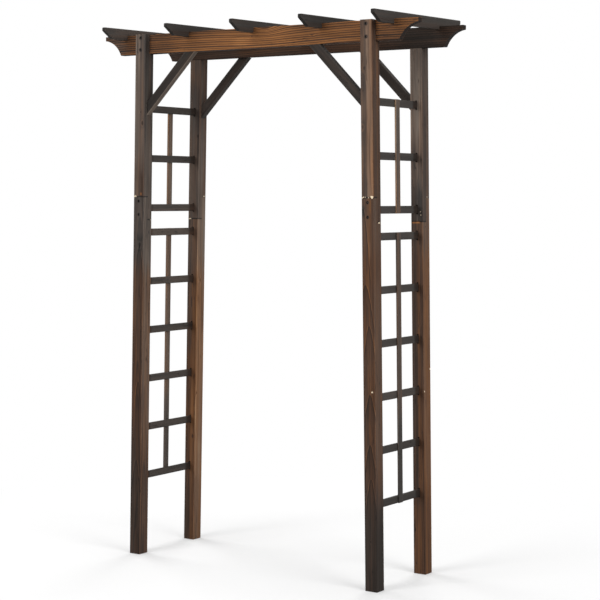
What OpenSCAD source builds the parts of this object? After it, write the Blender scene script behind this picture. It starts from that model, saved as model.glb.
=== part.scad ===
// Garden arbor: a free-standing timber arch with four half-lapped posts, two scooped
// beams, five notched rafters, four knee braces and two open ladder sides.
// The two ladder sides lean in towards the top, so the feet stand wider apart.
// Millimetres. X runs across the walk-through, the front faces -Y, the ground is z = 0.

/* [Overall] */
// Clear width between the left and right posts, right under the beams
passage_w = 980; // [700:10:1500]
// Clear depth between the front and back posts
side_clear = 296; // [200:2:600]
// Height of the post tops, level with the top of the beams
post_h = 2040; // [1950:10:2400]
// Lean of each ladder side, in degrees, which spreads the feet
splay = 1.05; // [0:0.05:2]

/* [Posts] */
// Side of the square post section
post_w = 50; // [44:1:70]
// Eased edge along posts, beams, braces and rafters
edge_ease = 1.5; // [0.5:0.5:3]
// Length of an upper post, from its inner seam to its top
upper_len = 716; // [620:1:780]
// Length of the half-lap joint in each post
lap_len = 88; // [70:1:120]
// Thickness of the outer cheek in the half-lap joint
lap_cheek = 25; // [20:1:28]

/* [Screw recesses] */
// Diameter of a screw head recess
recess_d = 9; // [6:0.5:12]
// Depth of a screw head recess
recess_depth = 6; // [3:0.5:10]
// Distance of the upper screws from the top and from the foot of the post tongue
tongue_screw_inset = 15; // [10:1:25]
// Distance of the joint screws from the two seams of the half-lap
lap_screw_inset = 18; // [12:1:30]

/* [Beams] */
// Height of a beam
beam_h = 76; // [60:1:110]
// Thickness of a beam
beam_t = 25; // [18:1:32]
// Length of a beam past the outer face of a post
beam_overhang = 172; // [100:2:250]
// Height of the upright face at a beam's tip
beam_tip_h = 16; // [10:1:30]
// Length of the scoop under a beam's end
scoop_len = 77; // [40:1:95]
// Radius of the scoop
scoop_r = 93; // [75:1:200]

/* [Rafters] */
// Height of a rafter
rafter_h = 43; // [34:1:60]
// Thickness of a rafter
rafter_t = 15; // [10:1:25]
// Length of a rafter past the outer face of a post
rafter_overhang = 108; // [80:1:250]
// Rise of a rafter towards the back, in degrees
rafter_tilt = 1.1; // [0:0.1:1.4]
// Distance of the end rafters' middle from the outer face of a post
rafter_outset = 68; // [20:1:80]
// Mean depth of the notches that drop a rafter over the beams
rafter_notch = 15; // [9:1:24]
// Height of the upright face at a rafter's tip
rafter_tip_h = 13; // [10:1:28]
// Length of the sloping cut under a rafter's tip
rafter_clip = 50; // [20:1:70]
// Eased corner at the top of a rafter's tip
rafter_tip_ease = 2.5; // [0.5:0.5:5]
// Side clearance of a rafter notch on its beam
notch_fit = 0.25; // [0.1:0.05:0.8]

/* [Knee braces] */
// Width of a brace
brace_w = 34; // [20:1:50]
// Thickness of a brace
brace_t = 25; // [15:1:32]
// Length of the open corner along the post and along the beam
brace_leg = 182; // [100:2:300]

/* [Ladder sides] */
// Height of a rung
rung_h = 28; // [20:1:36]
// Thickness of a rung
rung_t = 8; // [6:0.5:14]
// Distance between neighbouring rungs, edge to edge the same way
rung_pitch = 193; // [160:1:215]
// Length of the tenon at each end of a rung
rung_tenon = 14; // [8:1:16]
// Side clearance of a rung in its mortise
mortise_fit = 0.25; // [0.1:0.05:0.6]
// Height of the upper ladder's lowest edge over the inner seam
upper_ladder_gap = 30; // [10:1:60]
// Depth of the lower ladder's highest edge under the inner seam
lower_ladder_gap = 38; // [15:1:70]
// Width of the upright slat of a ladder
slat_w = 28; // [18:1:50]
// Thickness of the upright slat of a ladder
slat_t = 6; // [4:0.5:12]
// Eased edge along rungs and slats
lath_ease = 0.8; // [0.2:0.2:1.6]

/* [Hidden] */
// Smoothness of every round cut
$fn = 48;
// Overlap of a cutting body past the face that it opens
cut_over = 1;
// Spare length of a leaning post that is cut off level
trim_over = 5;
// Reach of a level cut across half of the arbor
cut_reach = 3000;

rafter_count = 5;
upper_rungs = 3;
lower_rungs = 6;

// Middle of the post sections
post_x = (passage_w + post_w) / 2;
post_y = (side_clear + post_w) / 2;
// Outer faces of the posts
post_out_x = post_x + post_w / 2;
post_out_y = post_y + post_w / 2;

// The half-lap's inner and outer seams, and the shoulder that carries a beam
joint_z = post_h - upper_len;
lap_top_z = joint_z + lap_len;
shoulder_z = post_h - beam_h;

beam_half = post_out_x + beam_overhang;
beam_y = side_clear / 2 + beam_t / 2;
scoop_h = beam_h - beam_tip_h;

rafter_half = post_out_y + rafter_overhang;
rafter_end_x = post_out_x + rafter_outset;
rafter_pitch = 2 * rafter_end_x / (rafter_count - 1);
// Middle of a rafter's lower edge, and its rise from there to the back tip
rafter_bottom_z = post_h - rafter_notch;
rafter_rise = rafter_half * tan(rafter_tilt);

rung_half = side_clear / 2 + rung_tenon;
upper_ladder_z = joint_z + upper_ladder_gap;
lower_ladder_z = joint_z - lower_ladder_gap;
slat_x = post_x + (rung_t + slat_t) / 2;

POSTS = ["front_left", "front_right", "back_left", "back_right"];
SIDES = ["left", "right"];

// Height of a rung's lower edge, counted from the top of its ladder
function upper_rung_z(i) = upper_ladder_z + (upper_rungs - i) * rung_pitch;
function lower_rung_z(i) = lower_ladder_z - rung_h - (i - 1) * rung_pitch;

// Middle of the circle through the scoop's two ends, from the tip's lower corner
function scoop_middle() =
    let (chord = sqrt(scoop_len * scoop_len + scoop_h * scoop_h))
    let (reach = sqrt(scoop_r * scoop_r - chord * chord / 4))
    [-scoop_len / 2 + reach * scoop_h / chord, -scoop_h / 2 - reach * scoop_len / chord];

function is_left(post) = post == "front_left" || post == "back_left";
function is_back(post) = post == "back_left" || post == "back_right";

// Section with eased corners, centred
module eased_section(w, h, ease) {
    polygon([
        [-w / 2 + ease, -h / 2], [w / 2 - ease, -h / 2],
        [w / 2, -h / 2 + ease], [w / 2, h / 2 - ease],
        [w / 2 - ease, h / 2], [-w / 2 + ease, h / 2],
        [-w / 2, h / 2 - ease], [-w / 2, -h / 2 + ease]
    ]);
}

// Stick along Y, centred, with the section's width along X and its height along Z
module stick_y(w, h, len, ease) {
    rotate([90, 0, 0])
        linear_extrude(height = len, center = true)
            eased_section(w, h, ease);
}

// Stick along X, centred, with the section's width along Y and its height along Z
module stick_x(w, h, len, ease) {
    rotate([90, 0, 90])
        linear_extrude(height = len, center = true)
            eased_section(w, h, ease);
}

// Upright stick with its foot on z = 0
module stick_z(w, d, len, ease) {
    linear_extrude(height = len)
        eased_section(w, d, ease);
}

// Mortise with round ends above and below the rung, cut into the side-frame face
module mortise(rung_z) {
    half_t = rung_t / 2 + mortise_fit;
    depth = rung_tenon + mortise_fit;
    translate([0, post_w / 2 - depth, rung_z]) {
        translate([-half_t, 0, 0])
            cube([2 * half_t, depth + cut_over, rung_h]);
        for (end_z = [0, rung_h])
            translate([0, 0, end_z])
                rotate([-90, 0, 0])
                    cylinder(r = half_t, h = depth + cut_over);
    }
}

// Recess for a screw head, cut into the outer face
module screw_recess(z) {
    translate([0, -post_w / 2 - cut_over, z])
        rotate([-90, 0, 0])
            cylinder(d = recess_d, h = recess_depth + cut_over);
}

// Leans a right-hand piece about the top inner edge of its side's posts
module lean() {
    translate([passage_w / 2, 0, shoulder_z])
        rotate([0, -splay, 0])
            translate([-passage_w / 2, 0, -shoulder_z])
                children();
}

// Level block over the front right quarter, outwards from a depth and up from a height
module level_block(depth, z, h) {
    translate([0, -depth, z])
        cube([cut_reach, depth, h]);
}

// The front right post's lower length: its outer cheek reaches up past the seam, and
// its foot is cut level
module lower_post_form() {
    difference() {
        lean()
            translate([post_x, -post_y, 0])
                difference() {
                    translate([0, 0, -trim_over])
                        stick_z(post_w, post_w, lap_top_z + trim_over, edge_ease);
                    translate([-post_w, -post_w / 2 + lap_cheek, joint_z])
                        cube([2 * post_w, post_w, lap_len + cut_over]);
                    for (i = [1:lower_rungs])
                        mortise(lower_rung_z(i));
                    for (z = [joint_z + lap_screw_inset, lap_top_z - lap_screw_inset])
                        screw_recess(z);
                }
        level_block(2 * post_out_y, -2 * trim_over, 2 * trim_over);
    }
}

// The front right post's upper length: its inner half hangs below the outer seam, and
// its outer half rises as a tongue past the level shoulder that carries the beam
module upper_post_form() {
    difference() {
        lean()
            translate([post_x, -post_y, 0])
                difference() {
                    translate([0, 0, joint_z])
                        stick_z(post_w, post_w, upper_len + trim_over, edge_ease);
                    translate([-post_w, -3 * post_w / 2 + lap_cheek, joint_z - cut_over])
                        cube([2 * post_w, post_w, lap_len + cut_over]);
                    for (i = [1:upper_rungs])
                        mortise(upper_rung_z(i));
                    for (z = [shoulder_z + tongue_screw_inset, post_h - tongue_screw_inset])
                        screw_recess(z);
                }
        level_block(side_clear / 2 + beam_t, shoulder_z, 2 * beam_h);
        level_block(2 * post_out_y, post_h, 2 * trim_over);
    }
}

// Puts a front right form at its corner, by mirroring it to the left and to the back
module at_corner(post) {
    mirror([is_left(post) ? 1 : 0, 0, 0])
        mirror([0, is_back(post) ? 1 : 0, 0])
            children();
}

module lower_post(post) {
    color("saddlebrown") at_corner(post) lower_post_form();
}

module upper_post(post) {
    color("peru") at_corner(post) upper_post_form();
}

// Outline of a beam seen from the front, with its scooped ends
module beam_outline() {
    difference() {
        translate([-beam_half, shoulder_z])
            square([2 * beam_half, beam_h]);
        for (side = [-1, 1])
            translate([side * (beam_half + scoop_middle()[0]), 0])
                translate([0, shoulder_z + scoop_h + scoop_middle()[1]])
                    circle(r = scoop_r, $fn = 96);
    }
}

module beam(face) {
    color("sienna")
        translate([0, face * beam_y, 0])
            intersection() {
                rotate([90, 0, 0])
                    linear_extrude(height = beam_t + 2 * cut_over, center = true)
                        beam_outline();
                translate([0, 0, shoulder_z + beam_h / 2])
                    stick_x(beam_t, beam_h, 2 * beam_half, edge_ease);
            }
}

// Trims a rafter seen from the side: upright tips, clipped below and eased above, and
// level notches over the beams. The middle of its lower edge is the origin.
module rafter_trim() {
    notch_w = beam_t + 2 * notch_fit;
    clip_h = rafter_h - rafter_tip_h;
    spare_h = rafter_h + rafter_rise;
    difference() {
        translate([-rafter_half, -spare_h])
            square([2 * rafter_half, 3 * spare_h]);
        for (face = [-1, 1]) {
            translate([face * beam_y - notch_w / 2, -spare_h - cut_over])
                square([notch_w, spare_h + rafter_notch + cut_over]);
            translate([face * rafter_half, face * rafter_rise])
                polygon([
                    [0, clip_h], [-face * 2 * rafter_clip, -clip_h],
                    [face * cut_over, -clip_h], [face * cut_over, clip_h]
                ]);
            translate([face * rafter_half, face * rafter_rise + rafter_h])
                rotate(45)
                    square(sqrt(2) * rafter_tip_ease, center = true);
        }
    }
}

module rafter(i) {
    color("dimgray")
        translate([-rafter_end_x + (i - 1) * rafter_pitch, 0, rafter_bottom_z])
            intersection() {
                rotate([90, 0, 90])
                    linear_extrude(height = rafter_t + 2 * cut_over, center = true)
                        rafter_trim();
                translate([0, 0, rafter_h / 2])
                    rotate([rafter_tilt, 0, 0])
                        stick_y(rafter_t, rafter_h * cos(rafter_tilt), 3 * rafter_half, edge_ease);
            }
}

// Brace for the front right corner, in the middle of its post. It is cut to the beam's
// level underside and to the leaning inner face of the post
module brace_form() {
    reach = brace_leg + brace_w * sqrt(2);
    middle = (brace_leg + reach) / 4;
    translate([passage_w / 2, -post_y, shoulder_z])
        intersection() {
            translate([-middle, 0, -middle])
                rotate([0, 45, 0])
                    stick_x(brace_t, brace_w, 3 * reach, edge_ease);
            translate([-2 * reach, -post_w, -2 * reach])
                cube([4 * reach, 2 * post_w, 2 * reach]);
            rotate([0, -splay, 0])
                translate([-2 * reach, -post_w, -2 * reach])
                    cube([2 * reach, 2 * post_w, 3 * reach]);
        }
}

module brace(post) {
    color("dimgray") at_corner(post) brace_form();
}

// Leans a right-hand piece, and mirrors it for the left side
module on_side(side) {
    mirror([side == "left" ? 1 : 0, 0, 0])
        lean()
            children();
}

// Rung with its lower edge at a height; its ends sit in the mortises
module rung(side, z) {
    color("dimgray")
        on_side(side)
            translate([post_x, 0, z + rung_h / 2])
                stick_y(rung_t, rung_h, 2 * rung_half, lath_ease);
}

module upper_rung(side, i) {
    rung(side, upper_rung_z(i));
}

module lower_rung(side, i) {
    rung(side, lower_rung_z(i));
}

// Slat against the outer faces of a ladder's rungs, flush with the end rungs' edges
module slat(side, z0, z1) {
    color("burlywood")
        on_side(side)
            translate([slat_x, 0, z0])
                stick_z(slat_t, slat_w, z1 - z0, lath_ease);
}

module upper_slat(side) {
    slat(side, upper_ladder_z, upper_rung_z(1) + rung_h);
}

module lower_slat(side) {
    slat(side, lower_rung_z(lower_rungs), lower_ladder_z);
}

for (post = POSTS) {
    lower_post(post);
    upper_post(post);
    brace(post);
}
beam(-1);  // front_beam
beam(1);  // back_beam
for (i = [1:rafter_count])
    rafter(i);
for (side = SIDES) {
    for (i = [1:upper_rungs])
        upper_rung(side, i);
    for (i = [1:lower_rungs])
        lower_rung(side, i);
    upper_slat(side);
    lower_slat(side);
}
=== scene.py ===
"""Garden arbor in charred softwood: wood finishes, screws, soft studio light and camera."""

import math

import bmesh
import bpy
from mathutils import Euler, Matrix, Quaternion, Vector


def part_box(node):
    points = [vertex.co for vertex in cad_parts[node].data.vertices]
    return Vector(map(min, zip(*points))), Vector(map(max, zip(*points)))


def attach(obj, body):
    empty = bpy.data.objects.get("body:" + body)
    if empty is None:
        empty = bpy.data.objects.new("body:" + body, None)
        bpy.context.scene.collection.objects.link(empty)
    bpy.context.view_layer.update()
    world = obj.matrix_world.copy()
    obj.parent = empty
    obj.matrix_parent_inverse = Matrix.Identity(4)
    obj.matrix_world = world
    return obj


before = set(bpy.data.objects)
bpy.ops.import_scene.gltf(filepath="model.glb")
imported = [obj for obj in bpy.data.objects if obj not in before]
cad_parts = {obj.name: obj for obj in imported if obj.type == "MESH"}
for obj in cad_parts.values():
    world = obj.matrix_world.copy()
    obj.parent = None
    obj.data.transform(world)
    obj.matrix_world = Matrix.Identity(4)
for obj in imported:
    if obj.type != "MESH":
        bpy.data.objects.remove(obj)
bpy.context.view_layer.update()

MM = 0.001
POSTS = ("front_left", "front_right", "back_left", "back_right")
SIDES = ("left", "right")


# ---------------------------------------------------------------- shader maths

class Value:
    """A number in a finish. Arithmetic on it adds Math nodes to the finish."""

    def __init__(self, finish, socket):
        self.finish = finish
        self.socket = socket

    def math(self, operation, *others):
        return self.finish.node("ShaderNodeMath", {"operation": operation}, others)

    def __add__(self, other):
        return self.math("ADD", self, other)

    __radd__ = __add__

    def __sub__(self, other):
        return self.math("SUBTRACT", self, other)

    def __rsub__(self, other):
        return self.math("SUBTRACT", other, self)

    def __mul__(self, other):
        return self.math("MULTIPLY", self, other)

    __rmul__ = __mul__

    def __truediv__(self, other):
        return self.math("DIVIDE", self, other)

    def __pow__(self, other):
        return self.math("POWER", self, other)

    def __neg__(self):
        return self.math("MULTIPLY", self, -1.0)

    def __abs__(self):
        return self.math("ABSOLUTE", self)

    def lowest(self, other):
        return self.math("MINIMUM", self, other)

    def highest(self, other):
        return self.math("MAXIMUM", self, other)

    def fraction(self):
        return self.math("FRACT", self)

    def exponent(self):
        return self.math("EXPONENT", self)

    def rise(self, start, end, low=0.0, high=1.0):
        """Smooth step from low to high while this value goes from start to end."""
        settings = {"interpolation_type": "SMOOTHSTEP"}
        inputs = {"Value": self, 1: start, 2: end, 3: low, 4: high}
        return self.finish.node("ShaderNodeMapRange", settings, inputs)

    def within(self, start, end, soft):
        """1 between two values of this one, 0 outside, with soft borders."""
        return self.rise(start - soft, start + soft) * self.rise(end - soft, end + soft, 1.0, 0.0)


class Finish:
    """The nodes of a material or a world under construction."""

    def __init__(self, owner):
        self.owner = owner
        owner.use_nodes = True
        self.tree = owner.node_tree
        self.tree.nodes.clear()

    def node(self, kind, settings=None, inputs=(), output=0):
        """Adds a node: its settings first, then the values or links of its sockets."""
        made = self.tree.nodes.new(kind)
        for key, value in (settings or {}).items():
            if key == "stops":
                self.set_stops(made.color_ramp, value)
            else:
                setattr(made, key, value)
        pairs = inputs.items() if isinstance(inputs, dict) else enumerate(inputs)
        for key, value in pairs:
            if isinstance(value, Value):
                self.tree.links.new(value.socket, made.inputs[key])
            else:
                made.inputs[key].default_value = value
        return Value(self, made.outputs[output]) if len(made.outputs) else made

    @staticmethod
    def set_stops(ramp, stops):
        while len(ramp.elements) > 1:
            ramp.elements.remove(ramp.elements[-1])
        for i, (place, colour) in enumerate(stops):
            stop = ramp.elements[0] if i == 0 else ramp.elements.new(place)
            stop.position = place
            stop.color = (*colour, 1.0)

    def vector(self, x, y, z):
        return self.node("ShaderNodeCombineXYZ", {}, (x, y, z))

    def axes(self, vector):
        made = self.node("ShaderNodeSeparateXYZ", {}, (vector,))
        return [Value(self, made.socket.node.outputs[i]) for i in range(3)]

    def object_place(self):
        return self.node("ShaderNodeTexCoord", {}, (), "Object")

    def distance(self, a, b):
        return self.node("ShaderNodeVectorMath", {"operation": "DISTANCE"}, (a, b), "Value")

    def noise(self, vector, detail=2.0, roughness=0.5):
        inputs = {"Vector": vector, "Scale": 1.0, "Detail": detail, "Roughness": roughness}
        return self.node("ShaderNodeTexNoise", {"noise_dimensions": "3D"}, inputs)

    def wander(self, along, detail=1.0):
        """Slow one-way noise, -0.5 to 0.5."""
        inputs = {"W": along, "Scale": 1.0, "Detail": detail}
        return self.node("ShaderNodeTexNoise", {"noise_dimensions": "1D"}, inputs) - 0.5

    def ramp(self, factor, stops):
        return self.node("ShaderNodeValToRGB", {"stops": stops}, (factor,))

    def mix(self, factor, a, b):
        return self.node("ShaderNodeMix", {"data_type": "RGBA"}, {0: factor, 6: a, 7: b}, 2)

    def bump(self, height, depth):
        inputs = {"Strength": 1.0, "Distance": depth, "Height": height}
        return self.node("ShaderNodeBump", {}, inputs)

    def looked_at(self):
        """1 where the camera, a gloss or a clear piece looks, 0 for the light on the part."""
        rays = [self.node("ShaderNodeLightPath", {}, (), f"Is {kind} Ray")
                for kind in ("Camera", "Glossy", "Transmission")]
        return rays[0].highest(rays[1]).highest(rays[2])

    def blend(self, share, first, second):
        return self.node("ShaderNodeMixShader", {}, {0: share, 1: first, 2: second})

    def principled(self, **inputs):
        sockets = {key.replace("_", " "): value for key, value in inputs.items()}
        return self.node("ShaderNodeBsdfPrincipled", {}, sockets)

    def close(self, shader):
        kind = "World" if isinstance(self.owner, bpy.types.World) else "Material"
        self.node(f"ShaderNodeOutput{kind}", {}, (shader,))
        return self.owner


def tint(red, green, blue):
    """A colour as a colour card gives it, 0 to 255, as linear light."""
    def linear(part):
        part /= 255.0
        return part / 12.92 if part <= 0.04045 else ((part + 0.055) / 1.055) ** 2.4
    return (linear(red), linear(green), linear(blue))


# ---------------------------------------------------------------- timbers in place

OUTWARD = {"front": (0, -1, 0), "back": (0, 1, 0), "right": (1, 0, 0), "under": (0, 0, -1)}


class Timber:
    """Where a piece of wood lies. Its own x runs along the grain, from its middle."""

    def __init__(self, node, along, up, half=None, middle=None):
        low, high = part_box(node)
        self.node = node
        self.middle = (low + high) / 2 if middle is None else middle
        along = Vector(along).normalized()
        up = Vector(up)
        up = (up - up.dot(along) * along).normalized()
        self.ways = (along, up.cross(along), up)
        size = high - low
        self.half = half or [abs(way.dot(size)) / 2 / MM for way in self.ways]

    def turn(self):
        return Matrix(self.ways).transposed().to_euler()

    def face(self, side):
        """The cross axis, 1 or 2, that a side of the timber looks along, and its sign."""
        outward = Vector(OUTWARD[side])
        number = max((1, 2), key=lambda i: abs(self.ways[i].dot(outward)))
        return number, math.copysign(1, self.ways[number].dot(outward))

    def at(self, along, y, z):
        """A point of the timber, given in mm along its own axes, as a place in metres."""
        steps = zip((along, y, z), self.ways)
        return self.middle + sum((way * (step * MM) for step, way in steps), Vector())


def side_lean(side):
    """The way a leaning ladder side goes up, from the drift of its lower post's box."""
    low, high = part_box(f"front_{side}_lower_post")
    size = high - low
    drift = (size.x - size.y) / size.z
    return Vector((drift if side == "left" else -drift, 0, 1)).normalized()


LEAN = {side: side_lean(side) for side in SIDES}
BRACE_WIDTH = 34.0    # mm, like the next three
SLAT_THICKNESS = 6.0
RAFTER_HEIGHT = 43.0
RUNG_SHADED_END = 44.0  # the length at each end of a rung, its tenon included, painted darker as shade by the post and in its mortise


def upright(node):
    """A post or a slat, with its own z towards the right."""
    side = "left" if "left" in node else "right"
    low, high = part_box(node)
    size = (high - low) / MM
    across = size.y if "post" in node else SLAT_THICKNESS
    return Timber(node, LEAN[side], (1, 0, 0), (size.z / 2, size.y / 2, across / 2))


def brace(node):
    """A brace, from its lower end on the post to its upper end under the beam."""
    low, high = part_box(node)
    inward = 1 if "left" in node else -1
    drift = abs(LEAN["left"].x / LEAN["left"].z)
    reach = (high.z - low.z) * (1 - drift)
    corner = (low if inward > 0 else high).x + inward * (high.z - low.z) * drift
    centre_line = reach / 2 - BRACE_WIDTH * MM * math.sqrt(0.5) / 2
    middle = Vector((corner + inward * centre_line, (low.y + high.y) / 2, high.z - centre_line))
    half = (reach * math.sqrt(0.5) / MM, (high.y - low.y) / 2 / MM, BRACE_WIDTH / 2)
    return Timber(node, (inward, 0, 1), (0, 0, 1), half, middle)


def rafter(node):
    """A rafter, which rises a little towards the back."""
    low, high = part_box(node)
    size = (high - low) / MM
    rise = (size.z - RAFTER_HEIGHT) / size.y
    half = (size.y / 2, size.x / 2, RAFTER_HEIGHT / 2)
    return Timber(node, (0, 1, rise), (0, 0, 1), half)


def rung(node):
    side = "left" if "left" in node else "right"
    return Timber(node, (0, 1, 0), LEAN[side])


def beam(node):
    return Timber(node, (1, 0, 0), (0, 0, 1))


# ---------------------------------------------------------------- wood finishes

# From soot to the bare golden wood that the burner left
BURNT = (
    (0.00, tint(22, 17, 15)),
    (0.22, tint(44, 33, 26)),
    (0.42, tint(74, 52, 39)),
    (0.60, tint(107, 71, 43)),
    (0.80, tint(147, 98, 57)),
    (1.00, tint(194, 144, 94)),
)
# The same steps where the char has weathered to grey
ASHEN = (
    (0.00, tint(24, 23, 22)),
    (0.22, tint(42, 40, 38)),
    (0.42, tint(64, 60, 57)),
    (0.60, tint(92, 82, 75)),
    (0.80, tint(124, 112, 101)),
    (1.00, tint(172, 157, 138)),
)
RAW_WOOD = (*tint(234, 214, 184), 1.0)

# Patterns in the wood: the length of their spots along the grain and the width
# across it, in mm, and a shift that keeps one pattern from repeating another
BENDS = (170, 24, 7.0)
RIPPLES = (45, 9, 9.0)
STREAKS = (520, 7.0, 0.0)
SMOKE = (150, 22.0, 17.0)
PATCHES = (230, 60.0, 11.0)
FIBRES = (38, 0.9, 23.0)
RIFTS = (260, 13.0, 31.0)
ASHES = (420, 18.0, 53.0)
KNOT_RIMS = (6, 3, 61.0)
SHADE_RIMS = (90, 5, 71.0)
FLAME_RIMS = (60, 14, 83.0)

# How much darker or paler each mark makes the wood, and the spread between fibres
FIBRE_SPREAD = 0.12
STAIN_DEPTH = 0.26
SEAM_DEPTH = 0.35
CRACK_DEPTH = 0.18
FLAME_EDGE_DEPTH = 0.18
FLAME_PALE_GAIN = 0.10

PITH_WAVES = (480, 700)  # lengths over which the pith strays along y and z, mm
BEND_SIZE = 3.6       # how far the bends and the ripples shift the years, mm
RIPPLE_SIZE = 1.1
YEAR_SPREAD = 0.7     # how uneven the years are in width
KNOT_STRETCH = 1.8    # length of a knot over its width
KNOT_PUSH = 1.4       # how far it bends the years round it, in its own radii
FLAME_CURVE = 0.7     # under 1, a flame widens less the further down it goes
FLAME_FADE = 70.0     # length over which its dark core fades, mm
FLAME_RAGGED = 7      # how far its edges stray, mm
SHADE_WAVES = 130     # length over which the edges of a band along a side stray, mm
SHADE_STRAY = 8       # and how far, mm
SIDE_STARTS = 2.2     # depth under a side where its own shades begin, mm
SIDE_FULL = 0.4       # and where they are full
STAIN_RADII = (8.0, 8.0, 6.5, 6.5)  # round the two tongue screws and the two lap screws, mm
CHAR_ROUGHNESS = 0.80
LATE_SHEEN = 0.10     # how much less rough late wood is
FIBRE_SHEEN = 0.14    # spread of roughness between fibres
CHAR_GLOSS = 0.12
GRAIN_RELIEF = 0.5    # height of the grain, mm
LATE_RISE = 0.30      # how high late wood, fibres and streaks stand in it
FIBRE_RISE = 0.35
STREAK_RISE = 0.4
CRACK_DROP = 1.2      # and how deep a crack goes
SEED_STEP = 3.7       # between the grains of two timbers


def shade(side=None, tone=0.0, grey=0.0, middle=0.0, width=None, start=None, end=None, soft=30.0):
    """A side, or a band along it, that is lighter, darker or greyer. Places are in mm."""
    return {"side": side, "tone": tone, "grey": grey, "middle": middle, "width": width,
            "start": start, "end": end, "soft": soft}


def knot(along, across, radius, way="y", depth=0.26):
    """A knot that runs through the timber along its own y or z."""
    return {"along": along, "across": across, "radius": radius, "way": way, "depth": depth}


def flame(along, across, spread, reach=150.0, depth=0.14):
    """The pointed tip of a cathedral figure on a front face. It widens downwards."""
    return {"along": along, "across": across, "spread": spread, "reach": reach, "depth": depth}


PLAIN = {
    "tone": 0.45,         # 0 is soot, 1 is bare golden wood
    "grey": 0.3,          # share of ashen colour
    "late": 0.10,         # how much darker the late wood of each year is
    "thin": 0.60,         # where in a year its late wood begins
    "band": 0.08,         # spread of tone from year to year
    "ring": 5.5,          # width of a year's growth, mm
    "pith": (34.0, 6.0),  # from the middle of the section to the pith, mm
    "taper": 0.0,         # drift of the rings along the piece, which draws flames on it
    "stray": 8.0,         # how far the pith strays along the piece, mm
    "streak": 0.16,       # spread of tone from streak to streak
    "patch": 0.12,        # spread of tone along the piece
    "worn": 0.07,         # how much lighter the arrises are
    "cut_soot_and_shade": 0.30,         # how much darker the cut surfaces are: partly their char, partly painted shade, mostly in the hollow scoops
    "shades": (),
    "knots": (),
    "flames": (),
    "stains": (),         # dark iron stains round the screws: (along, y, z, radius), mm
    "seams": (),          # dark joint lines: (along, which y side), mm
    "raw": (),            # pale chipped places: (along, y, z, radius), mm
}


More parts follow.
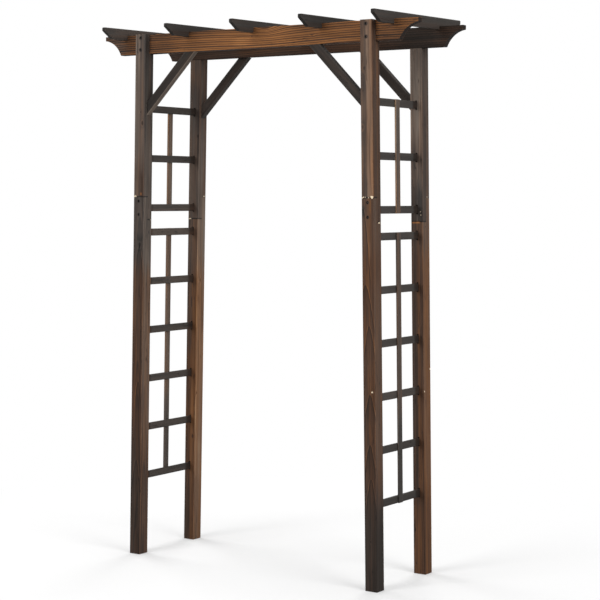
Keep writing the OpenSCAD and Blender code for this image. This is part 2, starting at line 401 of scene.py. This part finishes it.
class Char(Finish):
    """Charred softwood with its grain along one timber."""

    def __init__(self, timber, look, seed):
        super().__init__(bpy.data.materials.new(timber.node + "_char"))
        self.timber = timber
        self.look = {**PLAIN, **look}
        self.seed = seed
        mapping = {"Vector": self.object_place(), "Location": timber.middle,
                   "Rotation": timber.turn(), "Scale": (MM, MM, MM)}
        self.place = self.node("ShaderNodeMapping", {"vector_type": "TEXTURE"}, mapping)
        self.own = self.axes(self.place)

    def drawn(self, length, width, shift, **noise):
        """Noise with spots about as long and as wide as these, in mm, along the grain."""
        along, y, z = self.own
        vector = self.vector(along / length + (self.seed + shift), y / width, z / width)
        return self.noise(vector, **noise)

    def years(self):
        """Growth rings, counted outwards from a pith that strays, bent by the knots."""
        along, y, z = self.own
        look = self.look
        pith_y, pith_z = look["pith"]
        wave_y, wave_z = PITH_WAVES
        stray = 2 * look["stray"]
        from_y = y - pith_y + self.wander(along / wave_y + self.seed) * stray
        from_z = z - pith_z + self.wander(along / wave_z + self.seed + 40) * stray
        radius = (from_y * from_y + from_z * from_z) ** 0.5
        radius = radius + (self.drawn(*BENDS) - 0.5) * BEND_SIZE
        radius = radius + (self.drawn(*RIPPLES) - 0.5) * RIPPLE_SIZE
        if look["taper"]:
            radius = radius + along * look["taper"]
        for found in look["knots"]:
            push = found["radius"] * KNOT_PUSH
            radius = radius + (-self.knot_reach(found, 2.0)).exponent() * push
        year = radius / look["ring"]
        return year + self.wander(year * 0.7 + self.seed) * YEAR_SPREAD

    def knot_reach(self, found, size):
        """Square of the distance from a knot's middle, 1 at its rim times the size."""
        along, y, z = self.own
        across = z if found["way"] == "y" else y
        u = (along - found["along"]) / (found["radius"] * size * KNOT_STRETCH)
        v = (across - found["across"]) / (found["radius"] * size)
        return u * u + v * v

    def knot_cores(self):
        core = 0.0
        for found in self.look["knots"]:
            reach = self.knot_reach(found, 1.0) + (self.drawn(*KNOT_RIMS) - 0.5) * 0.8
            core = reach.rise(0.2, 1.5, found["depth"], 0.0) + core
        return core

    def flame_tone(self):
        """Dark tips, dark edges and the paler wood just outside them."""
        along, _, z = self.own
        ragged = z + (self.drawn(*FLAME_RIMS) - 0.5) * FLAME_RAGGED
        tone = 0.0
        for found in self.look["flames"]:
            below = (found["along"] - along).highest(0.0)
            off = abs(ragged - found["across"]) - (below ** FLAME_CURVE) * found["spread"]
            reach = found["reach"]
            shown = below.rise(0.0, 3.0) * below.rise(reach * 0.4, reach, 1.0, 0.0)
            core = off.rise(-2.5, 0.6, found["depth"], 0.0) * (below / -FLAME_FADE).exponent()
            edge = abs(off).rise(0.4, 2.6, FLAME_EDGE_DEPTH, 0.0)
            pale = abs(off - 3.8).rise(0.8, 3.2, FLAME_PALE_GAIN, 0.0)
            tone = shown * (pale - edge - core) + tone
        return tone * self.on_side("front")

    def stain_share(self):
        share = 0.0
        for along, y, z, radius in self.look["stains"]:
            spot = self.distance(self.place, (along, y, z)) / radius
            share = spot.rise(0.55, 1.25, 1.0, 0.0) + share
        return share

    def on_side(self, side):
        number, sign = self.timber.face(side)
        half = self.timber.half[number]
        return (self.own[number] * sign).rise(half - SIDE_STARTS, half - SIDE_FULL)

    def shade_share(self, spot):
        """How much of a shade reaches a place."""
        along = self.own[0]
        share = 1.0
        if spot["side"]:
            share = self.on_side(spot["side"]) * share
        if spot["width"]:
            number = self.timber.face(spot["side"])[0]
            middle, half = spot["middle"], spot["width"] / 2
            stray = self.wander(along / SHADE_WAVES + middle, 2.0) * SHADE_STRAY
            across = self.own[3 - number] + stray
            share = across.within(middle - half, middle + half, min(half * 0.6, 4.0)) * share
        blur = spot["soft"]
        ragged = along
        if blur > 10:
            ragged = along + (self.drawn(*SHADE_RIMS) - 0.5) * (blur * 1.6)
        if spot["start"] is not None:
            share = ragged.rise(spot["start"] - blur, spot["start"] + blur) * share
        if spot["end"] is not None:
            share = ragged.rise(spot["end"] - blur, spot["end"] + blur, 1.0, 0.0) * share
        return share

    def seam_lines(self):
        """Soot in the joints that show on the timber."""
        along, y, _ = self.own
        line = 0.0
        for where, half in self.look["seams"]:
            dark = abs(along - where).rise(0.8, 3.2, 1.0, 0.0)
            line = dark * (y * half).rise(-1.0, 1.0) + line
        return line

    def raw_share(self, fibre):
        share = 0.0
        for along, y, z, radius in self.look["raw"]:
            spot = 1 - self.distance(self.place, (along, y, z)) / radius
            share = (spot + (fibre - 0.5) * 0.8).rise(0.0, 0.25) + share
        return share

    def make(self):
        along, y, z = self.own
        look = self.look
        half = self.timber.half
        year = self.years()
        phase = year.fraction()
        late = phase.rise(look["thin"] - 0.2, look["thin"] + 0.25) * phase.rise(0.93, 1.0, 1.0, 0.0)
        streak = self.drawn(*STREAKS)
        smoke = self.drawn(*SMOKE, detail=1.5)
        patch = self.drawn(*PATCHES)
        fibre = self.drawn(*FIBRES, roughness=0.65)
        rift = self.drawn(*RIFTS, detail=1.0)
        crack = abs(rift - 0.5).rise(0.003, 0.012, 1.0, 0.0) * patch.rise(0.50, 0.58)

        to_y = half[1] - abs(y)
        to_z = half[2] - abs(z)
        arris = to_y.highest(to_z).rise(0.6, 4.0, 1.0, 0.0) * streak.rise(0.36, 0.60)
        # Cut surfaces (end faces and scoops) lie inside both side faces; they are painted darker,
        # partly for their char and partly as painted shade in the hollows
        cut = to_y.lowest(to_z).rise(0.7, 1.8)

        tone = (streak - 0.5) * (2 * look["streak"]) + (patch - 0.5) * look["patch"]
        tone = tone + (smoke - 0.5) * (1.6 * look["patch"])
        tone = tone + self.wander(year * 0.42 + (self.seed + 5)) * (2 * look["band"])
        tone = tone + (fibre - 0.5) * FIBRE_SPREAD - late * look["late"] - crack * CRACK_DEPTH
        tone = tone + arris * look["worn"] - cut * look["cut_soot_and_shade"]
        tone = tone + (look["tone"] + 0.3 * look["late"])
        grey = (self.drawn(*ASHES, detail=1.0) - 0.5) * 0.8 + look["grey"]
        for spot in look["shades"]:
            share = self.shade_share(spot)
            if spot["tone"]:
                tone = tone + share * spot["tone"]
            if spot["grey"]:
                grey = grey + share * spot["grey"]
        if look["knots"]:
            cores = self.knot_cores()
            tone = tone - cores
            grey = grey - cores
        if look["flames"]:
            tone = tone + self.flame_tone()
        if look["stains"]:
            tone = tone - self.stain_share() * STAIN_DEPTH
        if look["seams"]:
            tone = tone - self.seam_lines() * SEAM_DEPTH
        ash = grey.highest(0.0).lowest(1.0)
        colour = self.mix(ash, self.ramp(tone, BURNT), self.ramp(tone, ASHEN))
        if look["raw"]:
            colour = self.mix(self.raw_share(fibre).lowest(1.0), colour, RAW_WOOD)
        rough = CHAR_ROUGHNESS - late * LATE_SHEEN + (fibre - 0.5) * FIBRE_SHEEN
        height = late * LATE_RISE + fibre * FIBRE_RISE - crack * CRACK_DROP + streak * STREAK_RISE
        return self.close(self.principled(
            Base_Color=colour, Roughness=rough, Specular_IOR_Level=CHAR_GLOSS,
            Normal=self.bump(height, GRAIN_RELIEF * MM)))


def post_looks():
    """Posts: browner below the joint, greyer above it."""
    lower = {"tone": 0.44, "grey": 0.10, "seams": ((706, 1), (617, -1))}
    upper = {"tone": 0.51, "grey": 0.80, "ring": 6.5, "late": 0.06, "band": 0.05,
             "seams": ((-270, 1), (-358, -1))}
    back_lower = {**lower, "seams": ((706, -1), (617, 1))}
    back_upper = {**upper, "seams": ((-270, -1), (-358, 1))}
    own = {
        "front_left_lower_post": {
            "grey": 0.08, "pith": (2.0, 5.0), "taper": 0.022, "ring": 6.5, "band": 0.10,
            "shades": (
                shade("front", -0.05, middle=12, width=24),
                shade("front", -0.02, 0.22, middle=-12, width=24, end=-240, soft=120),
                shade("front", -0.04, 0.10, middle=13, width=22, start=20, end=210, soft=50),
                shade("front", -0.08, -0.08, end=160, soft=60),
                shade(tone=-0.06, grey=0.26, end=-300, soft=150),
                shade(tone=-0.02, grey=0.72, start=440, soft=70),
                shade("right", 0.17, 0.52),
                shade("right", -0.07, -0.42, end=-280, soft=120),
                shade("front", -0.12, 0.10, middle=8, width=30, start=500, end=560, soft=16)),
            "flames": (
                flame(520, 6, 0.6), flame(-20, 8, 0.6, 130, 0.08), flame(-330, 2, 0.7, 160, 0.06)),
            "knots": (knot(517, 7, 6.0), knot(68, -3, 3.5, "z"), knot(-250, -14, 3.5, depth=0.12)),
            "raw": ((619, -18, 25, 3.2), (706, 25, -20, 3.0), (706, 25, -14, 2.0))},
        "front_left_upper_post": {
            "grey": 0.88, "pith": (-30.0, 12.0),
            "shades": (
                shade("front", 0.10, 0.05, middle=-12, width=24),
                shade("front", 0.03, start=40, soft=60),
                shade("front", -0.07, -0.30, end=-140, soft=60),
                shade("front", -0.14, -0.30, middle=13, width=12, start=-290, end=-180, soft=20),
                shade("front", 0.30, -0.90, middle=11, width=9, start=-264, end=-254, soft=3),
                shade("right", 0.03, 0.10),
                shade("right", -0.09, -0.10, start=-60, soft=70)),
            "knots": (knot(15, 14, 5.0), knot(58, 5, 3.0, depth=0.18)),
            "raw": ((-268, 25, -19, 3.0), (-269, 25, -13, 2.2))},
        "front_right_lower_post": {
            "tone": 0.44, "grey": 0.05, "pith": (40.0, -5.0), "stray": 6.0, "late": 0.08,
            "band": 0.07, "streak": 0.10, "patch": 0.08,
            "shades": (
                shade(tone=-0.11, grey=0.36, end=-380, soft=130),
                shade("front", -0.07, middle=10, width=30, end=-180, soft=60),
                shade("front", -0.08, 0.18, middle=-14, width=22, end=180, soft=80),
                shade(tone=0.03, grey=0.28, start=500, soft=80),
                shade("front", 0.10, -0.10, middle=12, width=7, start=650, end=700, soft=12),
                shade("right", 0.05, 0.30, start=-260, end=420, soft=80),
                shade("right", 0.0, 0.12),
                shade("right", -0.11, 0.03, end=-400, soft=90),
                shade("front", -0.14, 0.30, middle=-18, width=13, start=640, end=676, soft=8),
                shade("front", 0.12, 0.25, middle=8, width=4, start=490, end=550, soft=12)),
            "flames": (
                flame(666, -19, 0.55, 360, 0.05), flame(396, -12, 1.0, 230, 0.20),
                flame(250, 2, 0.75, 160, 0.15), flame(4, 3, 0.92, 200, 0.20),
                flame(-176, 1, 0.8, 160, 0.16), flame(-300, 4, 0.7, 170, 0.04)),
            "knots": (knot(-526, 0, 2.2, depth=0.12), knot(-634, 8, 2.4, depth=0.12)),
            "raw": ((13, 25, 12, 3.6), (616, -16, 25, 3.2), (616, -9, 25, 3.0), (705, 25, 19, 4.0),
                    (706, 25, -21, 2.8), (706, 25, 4, 2.2))},
        "front_right_upper_post": {
            "grey": 0.50, "pith": (-32.0, -14.0), "late": 0.10, "band": 0.08,
            "shades": (
                shade("front", 0.17, 0.08, middle=13, width=26),
                shade("front", -0.03, 0.10, middle=-12, width=24, start=30, soft=60),
                shade("front", 0.05, 0.0, middle=4, width=6, start=-300, end=120, soft=60),
                shade("front", 0.04, -0.08, middle=18, width=10, end=-120, soft=60),
                shade("right", -0.11, -0.25)),
            "knots": (knot(187, -9, 4.0, depth=0.12), knot(-20, -18, 4.0, depth=0.16)),
            "raw": ((-268, 25, 16, 4.6), (-268, 25, 21, 4.0),
                    (-269, 25, -18, 3.0), (-269, 25, -10, 2.2))},
        "back_left_lower_post": {
            "grey": 0.20, "pith": (-12.0, -30.0),
            "shades": (
                shade("front", 0.11, -0.12, middle=13, width=26),
                shade("front", -0.02, -0.34, middle=-12, width=24, start=-400, end=40, soft=60),
                shade("front", -0.04, 0.18, middle=-12, width=24, start=60, end=430, soft=60),
                shade("front", 0.04, middle=13, width=26, start=-440, end=-100, soft=60),
                shade(tone=-0.11, grey=0.02, end=-460, soft=70),
                shade(grey=0.40, start=400, soft=110),
                shade("right", 0.31, 0.22)),
            "knots": (knot(-276, 13, 5.0), knot(366, 5, 4.0, "z"), knot(-97, 18, 3.0, "z")),
            "raw": ((617, 25, -19, 3.2), (617, 25, -12, 2.4))},
        "back_left_upper_post": {
            "grey": 0.80, "pith": (14.0, 30.0),
            "shades": (
                shade("front", -0.05, 0.10, start=-20, end=170, soft=40),
                shade("front", 0.09, -0.12, middle=-12, width=24, start=200, soft=30),
                shade("front", 0.0, 0.12, start=230, soft=30),
                shade("front", -0.13, -0.10, middle=22, width=9, start=-110, end=150, soft=40),
                shade("front", -0.12, -0.05, middle=21, width=5, start=-160, end=-24, soft=14),
                shade("right", 0.11, 0.12),
                shade("right", -0.09, -0.20, start=10, soft=60)),
            "knots": (knot(-24, 19, 4.0),),
            "raw": ((-268, -16, 25, 3.2), (-268, -9, 25, 2.6))},
        "back_right_lower_post": {
            "tone": 0.44, "grey": 0.12, "pith": (10.0, 30.0), "band": 0.10,
            "shades": (
                shade("front", -0.12, 0.18, middle=-12, width=24, start=-430, soft=60),
                shade("front", 0.0, -0.20, end=-460, soft=60),
                shade("right", 0.14, 0.14),
                shade("right", -0.10, -0.34, end=-380, soft=80),
                shade(tone=-0.03, grey=0.28, start=500, soft=60),
                shade("front", 0.06, -0.08, start=480, soft=50),
                shade("front", -0.16, 0.0, middle=-19, width=8, start=-600, end=-500, soft=16),
                shade("front", 0.34, -0.90, middle=-3, width=34, start=611, end=640, soft=2)),
            "knots": (knot(-540, -18, 4.0),),
            "raw": ((64, -21, 25, 3.4), (-17, 21, 25, 3.0))},
        "back_right_upper_post": {
            "tone": 0.52, "grey": 0.88, "pith": (-28.0, 8.0),
            "shades": (
                shade("front", 0.13, 0.05, start=-60, end=220, soft=60),
                shade("front", -0.07, -0.12, middle=-12, width=24, end=-60, soft=50),
                shade("front", 0.06, 0.0, middle=12, width=24, start=-170, soft=50),
                shade("front", -0.15, -0.06, end=-240, soft=50),
                shade("front", 0.06, middle=-12, width=24, start=190, soft=40),
                shade("right", -0.09, -0.20)),
            "raw": ((-334, 25, 17, 2.0), (-322, 25, 15, 1.6), (-268, -8, 25, 2.4))},
    }
    looks = {}
    for post in POSTS:
        lower_node, upper_node = post + "_lower_post", post + "_upper_post"
        looks[lower_node] = {**(lower if "front" in post else back_lower), **own[lower_node]}
        looks[upper_node] = {**(upper if "front" in post else back_upper), **own[upper_node]}
    return looks


def timbers_and_looks():
    """Every timber of the arbor with its look."""
    pairs = [(upright(node), look) for node, look in post_looks().items()]
    board = {"ring": 8.0, "pith": (10.0, -96.0), "stray": 14.0, "streak": 0.07, "patch": 0.08,
             "cut_soot_and_shade": 0.50}
    pairs.append((beam("front_beam"), {
        **board, "tone": 0.58, "grey": -0.50, "late": 0.40, "thin": 0.62, "band": 0.08,
        "knots": (
            knot(60, 46, 17.0), knot(-420, 42, 9.0), knot(0, 7, 2.0),
            knot(269, -6, 3.0, depth=0.1)),
        "shades": (
            # painted shade: the underside is darker because it gets less light
            shade("under", -0.34, 0.3),
            shade("back", -0.20, 0.2),
            shade("front", 0.06, start=-170, end=190, soft=70),
            shade("front", 0.08, middle=-13, width=28, start=-80, end=-10, soft=24),
            shade("front", -0.07, middle=29, width=16, end=0),
            shade("front", -0.04, middle=29, width=16, start=180, soft=30),
            shade("front", 0.08, middle=25, width=24, start=470, soft=60),
            shade(tone=-0.05, grey=0.90, end=-600, soft=50),
            shade(tone=-0.12, end=-370, soft=60),
            shade(tone=-0.07, start=540, soft=40),
            shade("front", -0.10, middle=-27, width=20, start=540, soft=30))}))
    pairs.append((beam("back_beam"), {
        **board, "tone": 0.35, "late": 0.16, "grey": 0.12, "cut_soot_and_shade": 0.20,
        "knots": (knot(-250, 20, 12.0), knot(330, 12, 5.0)),
        "shades": (
            # painted shade: the underside is darker because it gets less light
            shade("under", -0.10),
            shade("back", 0.18, -0.40),
            shade(tone=-0.07, grey=0.2, start=320, soft=80),
            shade("front", -0.08, 0.1, start=440, end=610, soft=40),
            shade("front", -0.05, 0.15, middle=-24, width=24, end=-320, soft=40),
            shade("front", 0.06, start=-310, end=-120, soft=50))}))
    for i, tone in enumerate((0.43, 0.36, 0.35, 0.32, 0.34), 1):
        pairs.append((rafter(f"rafter_{i}"), {
            "tone": tone, "grey": 0.95, "late": 0.04, "ring": 7.0, "streak": 0.08, "patch": 0.07,
            "cut_soot_and_shade": 0.14, "shades": (shade("right", -0.03, -0.3, middle=-14, width=15),)}))
    # The second number lightens each brace's down-facing side: painted light, set against the shade
    # that side gets
    braces = {"front_left": (0.24, 0.47), "front_right": (0.27, 0.14),
              "back_left": (0.34, 0.10), "back_right": (0.30, 0.12)}
    for post, (tone, under) in braces.items():
        pairs.append((brace(post + "_brace"), {
            "tone": tone, "grey": 0.75, "late": 0.05, "streak": 0.09, "cut_soot_and_shade": 0.15,
            "shades": (shade("under", under, 0.3),)}))
    lath = {"grey": 1.2, "late": 0.04, "streak": 0.08, "patch": 0.06, "worn": 0.04}
    tones = {
        "left_upper": (0.43, 0.44, 0.51), "left_lower": (0.53, 0.50, 0.47, 0.47, 0.49, 0.44),
        "right_upper": (0.37, 0.35, 0.37), "right_lower": (0.38, 0.41, 0.38, 0.45, 0.38, 0.35)}
    for ladder, rungs in tones.items():
        for i, tone in enumerate(rungs, 1):
            timber = rung(f"{ladder}_rung_{i}")
            reach = timber.half[0] - RUNG_SHADED_END
            pairs.append((timber, {**lath, "tone": tone, "shades": (
                # painted shade at both ends of the rung, by the posts and inside the mortises
                shade(tone=-0.20, grey=-0.9, end=-reach, soft=9),
                shade(tone=-0.20, grey=-0.9, start=reach, soft=9))}))
    weathered = shade(tone=-0.12, grey=0.4, end=-190, soft=60)
    slats = {
        "left_upper": (0.63, shade("front", 0.12, -0.2)),
        "left_lower": (0.62, shade("front", 0.02, -0.2), weathered),
        "right_upper": (0.55, shade("front", 0.27, -0.2)),
        "right_lower": (0.50, shade("front", 0.02, 0.0), weathered)}
    for ladder, (tone, *shades) in slats.items():
        slat = {"tone": tone, "grey": 0.8, "late": 0.08, "streak": 0.12, "shades": tuple(shades)}
        pairs.append((upright(ladder + "_slat"), slat))
    return pairs


def iron_stains(timber):
    """The char round the screws of a post is darker, from the iron and the wet."""
    post = timber.node.rsplit("_", 2)[0]
    stains = []
    for place, radius in zip(screw_places(post), STAIN_RADII):
        from_middle = (place - timber.middle) / MM
        own = tuple(way.dot(from_middle) for way in timber.ways)
        if abs(own[0]) < timber.half[0]:
            stains.append((*own, radius))
    return tuple(stains)


def finish_timbers():
    for number, (timber, look) in enumerate(timbers_and_looks()):
        if "post" in timber.node:
            look = {**look, "stains": iron_stains(timber)}
        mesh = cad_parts[timber.node].data
        mesh.materials.clear()
        mesh.materials.append(Char(timber, look, SEED_STEP * number).make())


# ---------------------------------------------------------------- screws

SCREW_HEAD = 7.4     # diameter, mm
SCREW_SIDES = 28
SCREW_TOP = 0.8      # radius of the flat top, as a share of the head's
# The rings below the flat top: share of the head's radius, and drop from the ring above, mm
SCREW_RINGS = ((0.96, 0.4), (1.0, 0.7), (1.0, 1.8))
SCREW_DEPTH = 3.0    # from the face of the post to the top of the head
FIRST_TURN = 0.4     # of a post's top head, radians
NEXT_TURN = 0.9      # from one head to the next
CROSS_LENGTH = 3.8   # the crossed driver recess
CROSS_WIDTH = 1.0
CROSS_DEPTH = 1.3
TONGUE_INSET = 15.0  # from the ends of the tongue to its screws
LAP_INSET = 18.0     # from the seams of the half-lap to its screws


def screw_steel():
    finish = Finish(bpy.data.materials.new("screw_steel"))
    scaled = finish.node("ShaderNodeMapping", {"vector_type": "TEXTURE"},
                         {"Vector": finish.object_place(), "Scale": (MM, MM, MM)})
    tarnish = finish.noise(scaled, detail=3.0)
    stops = ((0.35, tint(22, 19, 18)), (0.55, tint(44, 39, 36)), (0.75, tint(92, 86, 80)))
    return finish.close(finish.principled(
        Base_Color=finish.ramp(tarnish, stops), Metallic=0.8,
        Roughness=tarnish.rise(0.3, 0.7, 0.55, 0.30)))


def ring_down(form, edges, radius, drop):
    """Carries a rim outwards to a radius and down, and returns its new edges."""
    made = bmesh.ops.extrude_edge_only(form, edges=edges)["geom"]
    verts = [part for part in made if isinstance(part, bmesh.types.BMVert)]
    for vert in verts:
        flat = vert.co.xy.normalized() * radius
        vert.co = (flat.x, flat.y, vert.co.z - drop)
    return [part for part in made if isinstance(part, bmesh.types.BMEdge)]


def screw_head(form, place):
    """A pan head with a crossed driver recess. Its top looks along the place's z."""
    before = set(form.verts)
    radius = SCREW_HEAD / 2 * MM
    rim = bmesh.ops.create_circle(form, segments=SCREW_SIDES, radius=radius * SCREW_TOP)["verts"]
    cross_size = CROSS_LENGTH / 2 * MM
    grid = bmesh.ops.create_grid(form, x_segments=3, y_segments=3, size=cross_size)["verts"]
    for vert in grid:
        for i in (0, 1):
            if abs(vert.co[i]) < CROSS_LENGTH / 4 * MM:
                vert.co[i] = math.copysign(CROSS_WIDTH / 2 * MM, vert.co[i])
    cells = {face for vert in grid for face in vert.link_faces}
    corners = [cell for cell in cells
               if min(map(abs, cell.calc_center_median().xy)) > CROSS_WIDTH / 2 * MM]
    bmesh.ops.delete(form, geom=corners, context="FACES")
    cross = [cell for cell in cells if cell.is_valid]
    outline = {edge for cell in cross for edge in cell.edges if len(edge.link_faces) == 1}
    circle = {edge for vert in rim for edge in vert.link_edges}
    bmesh.ops.triangle_fill(form, use_beauty=True, edges=list(outline | circle))
    sunk = bmesh.ops.extrude_face_region(form, geom=cross)["geom"]
    for part in sunk:
        if isinstance(part, bmesh.types.BMVert):
            part.co.z -= CROSS_DEPTH * MM
    bmesh.ops.delete(form, geom=[cell for cell in cross if cell.is_valid], context="FACES_ONLY")
    edges = list(circle)
    for share, drop in SCREW_RINGS:
        edges = ring_down(form, edges, radius * share, drop * MM)
    bmesh.ops.edgeloop_fill(form, edges=edges)
    made = [vert for vert in form.verts if vert not in before]
    bmesh.ops.transform(form, matrix=place, verts=made)


def screw_places(post):
    """Places of a post's four screws, two in its tongue and two in its half-lap, as metres."""
    upper = upright(post + "_upper_post")
    lap = (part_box(post + "_lower_post")[1].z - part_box(post + "_upper_post")[0].z) / MM
    beam_low, beam_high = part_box("front_beam")
    beam_height = (beam_high.z - beam_low.z) / MM
    half, half_width = upper.half[0], upper.half[1]
    lift = half_width * abs(upper.ways[0].x)
    steps = (half - TONGUE_INSET, half - beam_height + TONGUE_INSET,
             LAP_INSET - half, lap - 2 * lift - LAP_INSET - half)
    out = 1 if "front" in post else -1
    return [upper.at(step + lift, out * half_width, 0) for step in steps]


def post_screws(post, steel):
    """The four heads of a post, at the bottoms of their recesses."""
    upper = upright(post + "_upper_post")
    outward = upper.ways[1] * (1 if "front" in post else -1)
    form = bmesh.new()
    for number, place in enumerate(screw_places(post)):
        centre = place - outward * (SCREW_DEPTH * MM)
        turn = Matrix.Rotation(NEXT_TURN * number + FIRST_TURN, 4, "Z")
        across = upper.ways[0].cross(outward)
        facing = Matrix((across, upper.ways[0], outward)).transposed().to_4x4()
        screw_head(form, Matrix.Translation(centre) @ facing @ turn)
    bmesh.ops.recalc_face_normals(form, faces=form.faces)
    mesh = bpy.data.meshes.new(post + "_screws")
    form.to_mesh(mesh)
    form.free()
    mesh.materials.append(steel)
    piece = bpy.data.objects.new(post + "_screws", mesh)
    bpy.context.scene.collection.objects.link(piece)
    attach(piece, "root")


# ---------------------------------------------------------------- studio

FLOOR_BOUNCE = 0.22  # share of light that the floor throws back on the arbor
FLOOR_PALE = 0.74    # how pale the floor looks
FLOOR_GLOW = 0.15    # share of plain white in it close by
FLOOR_NEAR = 0.7     # metres from the arbor's middle, where the floor still takes shadow
FLOOR_FAR = 2.0      # and where it has turned into plain white backdrop
FLOOR_HALF = 40.0    # metres
SKY_STRENGTH = 0.55  # of the soft light from all round
LAMP_HEIGHT = 3.2    # metres, like the next two
LAMP_WIDTH = 4.0
LAMP_AIM = (0, 0, 1.1)
LAMPS = (            # name, x and y in metres, watts
    ("front_light", -1.5, -6.0, 260.0),
    ("right_light", 6.0, -1.5, 260.0),
    ("back_light", -1.5, 6.0, 220.0),
    ("left_light", -6.0, 1.5, 220.0),
)
CAMERA_PLACE = (3.6426, -5.2015, 1.4202)  # metres
CAMERA_DOWN = 3.617    # degrees below the level
CAMERA_ROUND = 34.237  # degrees round the arbor, from its front
CAMERA_ROLL = 0.219    # degrees
LENS = 99.51           # mm, on a sensor of this width
SENSOR = 36.0


def make_floor():
    finish = Finish(bpy.data.materials.new("pale_floor"))
    x, y, _ = finish.axes(finish.object_place())
    away = (x * x + y * y) ** 0.5
    pale = finish.node("ShaderNodeBsdfDiffuse", {}, {"Color": (*(FLOOR_PALE,) * 3, 1.0)})
    white = finish.node("ShaderNodeEmission", {}, {"Color": (1, 1, 1, 1), "Strength": 1.0})
    dull = finish.node("ShaderNodeBsdfDiffuse", {}, {"Color": (*(FLOOR_BOUNCE,) * 3, 1.0)})
    seen = finish.blend(away.rise(FLOOR_NEAR, FLOOR_FAR, FLOOR_GLOW, 1.0), pale, white)
    finish.close(finish.blend(finish.looked_at(), dull, seen))
    form = bmesh.new()
    bmesh.ops.create_grid(form, x_segments=1, y_segments=1, size=FLOOR_HALF)
    mesh = bpy.data.meshes.new("floor")
    form.to_mesh(mesh)
    form.free()
    mesh.materials.append(finish.owner)
    floor = bpy.data.objects.new("floor", mesh)
    bpy.context.scene.collection.objects.link(floor)


def make_world():
    finish = Finish(bpy.data.worlds.new("studio"))
    white = (1.0, 1.0, 1.0, 1.0)
    soft = finish.node("ShaderNodeBackground", {}, {"Color": white, "Strength": SKY_STRENGTH})
    backdrop = finish.node("ShaderNodeBackground", {}, {"Color": white, "Strength": 1.0})
    bpy.context.scene.world = finish.close(finish.blend(finish.looked_at(), soft, backdrop))


def soft_light(name, x, y, power):
    """A wide round lamp that looks at the middle of the arbor."""
    data = bpy.data.lights.new(name, "AREA")
    data.shape = "DISK"
    data.size = LAMP_WIDTH
    data.energy = power
    lamp = bpy.data.objects.new(name, data)
    lamp.location = (x, y, LAMP_HEIGHT)
    ray = Vector(LAMP_AIM) - Vector(lamp.location)
    lamp.rotation_euler = ray.to_track_quat("-Z", "Y").to_euler()
    bpy.context.scene.collection.objects.link(lamp)


def make_camera():
    """A long lens at chest height, off the front right corner."""
    data = bpy.data.cameras.new("view")
    data.sensor_width = SENSOR
    data.lens = LENS
    camera = bpy.data.objects.new("view", data)
    camera.location = CAMERA_PLACE
    turns = (math.radians(90 - CAMERA_DOWN), 0.0, math.radians(CAMERA_ROUND))
    roll = Quaternion((0, 0, 1), math.radians(CAMERA_ROLL))
    camera.rotation_mode = "QUATERNION"
    camera.rotation_quaternion = Euler(turns).to_quaternion() @ roll
    bpy.context.scene.collection.objects.link(camera)
    bpy.context.scene.camera = camera


make_camera()
finish_timbers()
steel = screw_steel()
for corner in POSTS:
    post_screws(corner, steel)
make_floor()
make_world()
for lamp_row in LAMPS:
    soft_light(*lamp_row)
bpy.context.scene.view_settings.view_transform = "Standard"
